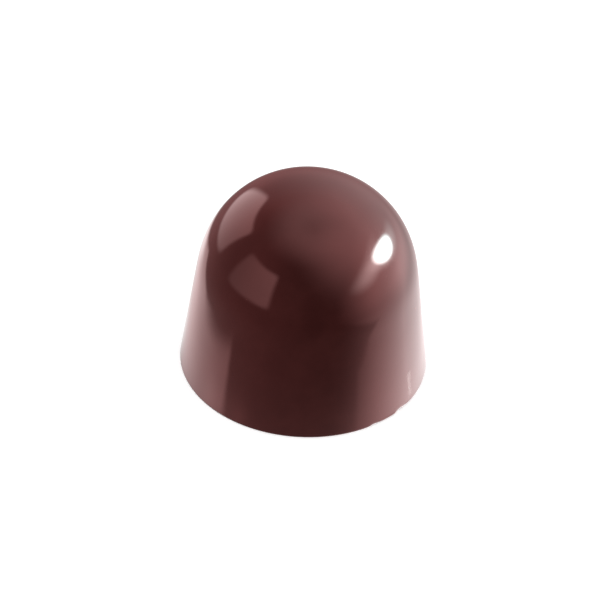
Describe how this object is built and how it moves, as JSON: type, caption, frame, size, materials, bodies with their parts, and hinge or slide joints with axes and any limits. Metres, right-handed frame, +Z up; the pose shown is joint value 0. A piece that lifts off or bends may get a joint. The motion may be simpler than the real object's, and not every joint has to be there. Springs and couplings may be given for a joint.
{
  "type": "moulded chocolate praline",
  "caption": "Moulded chocolate praline with a ball-shaped glossy top, a straight flared wall and a flat base to stand on.",
  "frame": {"origin": "centre of the flat base, on the surface that the praline stands on", "axes": "+Z up through the middle of the dome; the worn part of the base edge lies between -Y and +X"},
  "size_m": [0.028, 0.028, 0.0239],
  "materials": {
    "chocolate": "smooth glossy dark milk chocolate, as it leaves a polished mould"
  },
  "bodies": {
    "root": {"praline": "chocolate"}
  },
  "joints": []
}
